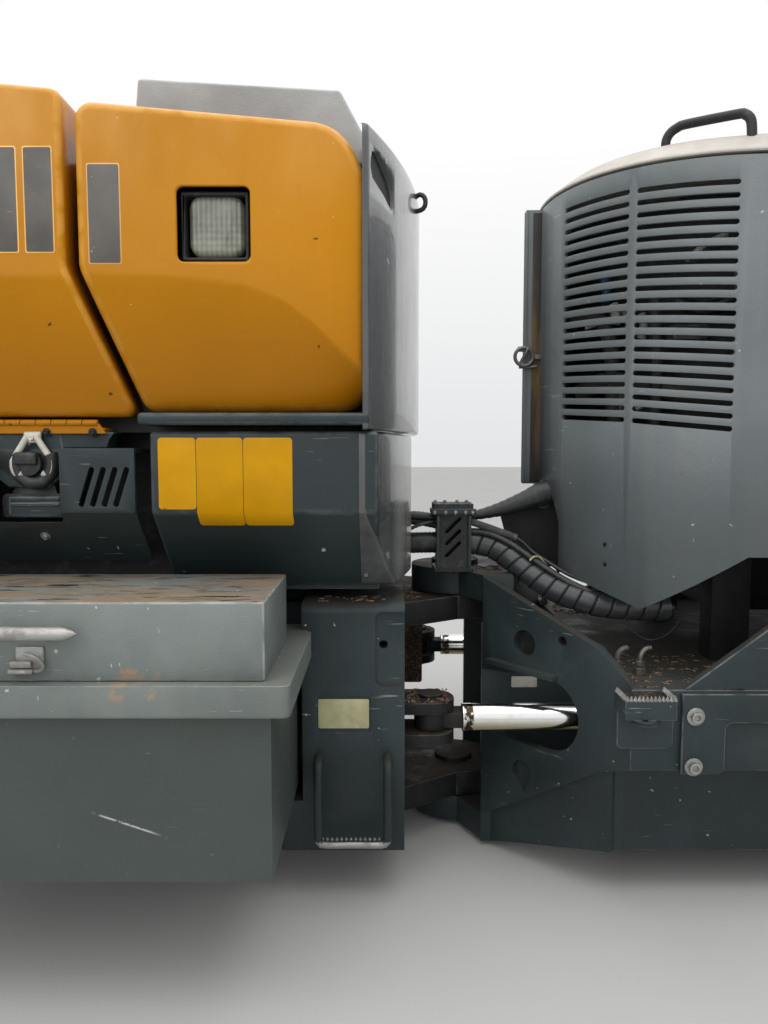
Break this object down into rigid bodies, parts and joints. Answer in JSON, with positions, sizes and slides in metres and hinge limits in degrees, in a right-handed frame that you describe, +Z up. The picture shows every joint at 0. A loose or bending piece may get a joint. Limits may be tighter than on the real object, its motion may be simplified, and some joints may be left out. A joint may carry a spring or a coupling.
{
  "type": "steering joint section of a forestry harvester",
  "caption": "Articulated waist of a forestry harvester: two frame ends on a vertical steering hinge with cylinders, covers, toolboxes and a louvred engine hood.",
  "frame": {"origin": "middle of the lower plate where the cab frame's beam is cut square", "axes": "+X along the machine from the cab end to the engine end, +Y to the far side, +Z up"},
  "size_m": [2.7, 1.52, 1.534],
  "materials": {
    "frame_paint": "satin, dusty",
    "toolbox_paint": "satin, chipped",
    "housing": "satin",
    "yellow_paint": "glossy",
    "hood_paint": "satin, dusty",
    "roof_paint": "satin",
    "black_plastic": "matte",
    "black_steel": "matte, oily dirt",
    "bare_steel": "worn",
    "chrome": "polished",
    "brass": "dull",
    "lens": "ribbed",
    "hose": "matte",
    "engine": "matte"
  },
  "bodies": {
    "cab_side": {"cab_frame": "frame_paint", "hinge_block": "frame_paint", "cab_ears": "black_steel", "rod_lugs": "black_steel", "rod_pins": "bare_steel", "block_steps": "black_steel", "deck_frame": "frame_paint", "toolbox_left": "toolbox_paint", "toolbox_right": "toolbox_paint", "tank_body": "black_plastic", "lower_housing": "housing", "lower_panels": "housing", "rear_housing": "housing", "deck_cover": "housing", "main_cover_left": "yellow_paint", "main_cover_right": "yellow_paint", "cover_hinges": "yellow_paint", "lamp_boxes": "black_plastic", "lamp_lenses": "lens", "cab_mounts": "frame_paint", "main_hose_cab": "hose"},
    "engine_side": {"engine_frame": "frame_paint", "nose": "frame_paint", "gussets": "frame_paint", "hinge_pins": "bare_steel", "cylinder_pins": "bare_steel", "side_steps": "black_steel", "side_plates": "frame_paint", "rail_flanges": "frame_paint", "hose_tower": "frame_paint", "hose_fittings": "brass", "engine_block": "engine", "hood_frame": "frame_paint", "door_hinges": "bare_steel", "hood_roof": "roof_paint", "roof_handles": "black_steel", "main_hose": "hose", "upper_hose": "hose"},
    "lid_left": {"toolbox_lid_left": "toolbox_paint", "lid_handle_left": "bare_steel"},
    "lid_right": {"toolbox_lid_right": "toolbox_paint", "lid_handle_right": "bare_steel"},
    "cover_left": {"cab_cover_left": "yellow_paint"},
    "cover_right": {"cab_cover_right": "yellow_paint"},
    "door_left": {"hood_door_left": "hood_paint", "door_latch": "bare_steel"},
    "door_right": {"hood_door_right": "hood_paint"},
    "cylinder_left": {"barrel_left": "black_steel"},
    "cylinder_right": {"barrel_right": "black_steel"},
    "piston_left": {"rod_left": "chrome"},
    "piston_right": {"rod_right": "chrome"}
  },
  "joints": [
    {"name": "steer", "type": "hinge", "parent": "cab_side", "child": "engine_side", "pos_m": [1.35, 0, 0.2], "axis": [0, 0, 1], "range_deg": [-40, 40]},
    {"name": "cylinder_left_swing", "type": "hinge", "parent": "engine_side", "child": "cylinder_left", "pos_m": [2.14, -0.285, 0.222], "axis": [0, 0, 1], "range_deg": [-2.5, 2.5]},
    {"name": "cylinder_right_swing", "type": "hinge", "parent": "engine_side", "child": "cylinder_right", "pos_m": [2.14, 0.285, 0.222], "axis": [0, 0, 1], "range_deg": [-2.5, 2.5]},
    {"name": "rod_left_slide", "type": "slide", "parent": "cylinder_left", "child": "piston_left", "axis": [-0.9998, -0.0173, 0], "range_m": [-0.2095, 0.2095]},
    {"name": "rod_right_slide", "type": "slide", "parent": "cylinder_right", "child": "piston_right", "axis": [-0.9998, 0.0173, 0], "range_m": [-0.2095, 0.2095]},
    {"name": "lid_left_lift", "type": "hinge", "parent": "cab_side", "child": "lid_left", "pos_m": [0.565, -0.464, 0.434], "axis": [-1, 0, 0], "range_deg": [0, 40]},
    {"name": "lid_right_lift", "type": "hinge", "parent": "cab_side", "child": "lid_right", "pos_m": [0.565, 0.464, 0.434], "axis": [1, 0, 0], "range_deg": [0, 40]},
    {"name": "cover_left_fold", "type": "hinge", "parent": "cab_side", "child": "cover_left", "pos_m": [0.38, -0.488, 0.819], "axis": [1, 0, 0], "range_deg": [0, 110]},
    {"name": "cover_right_fold", "type": "hinge", "parent": "cab_side", "child": "cover_right", "pos_m": [0.38, 0.488, 0.819], "axis": [-1, 0, 0], "range_deg": [0, 110]},
    {"name": "door_left_swing", "type": "hinge", "parent": "engine_side", "child": "door_left", "pos_m": [2.643, -0.454, 0.955], "axis": [0, 0, 1], "range_deg": [0, 75]},
    {"name": "door_right_swing", "type": "hinge", "parent": "engine_side", "child": "door_right", "pos_m": [2.643, 0.454, 0.955], "axis": [0, 0, -1], "range_deg": [0, 75]}
  ],
  "couplings": [
    {"joint": "cylinder_left_swing", "follows": "steer", "ratio": -0.06},
    {"joint": "cylinder_right_swing", "follows": "steer", "ratio": -0.06},
    {"joint": "rod_left_slide", "follows": "steer", "m_per_rad": 0.3},
    {"joint": "rod_right_slide", "follows": "steer", "m_per_rad": -0.3}
  ]
}
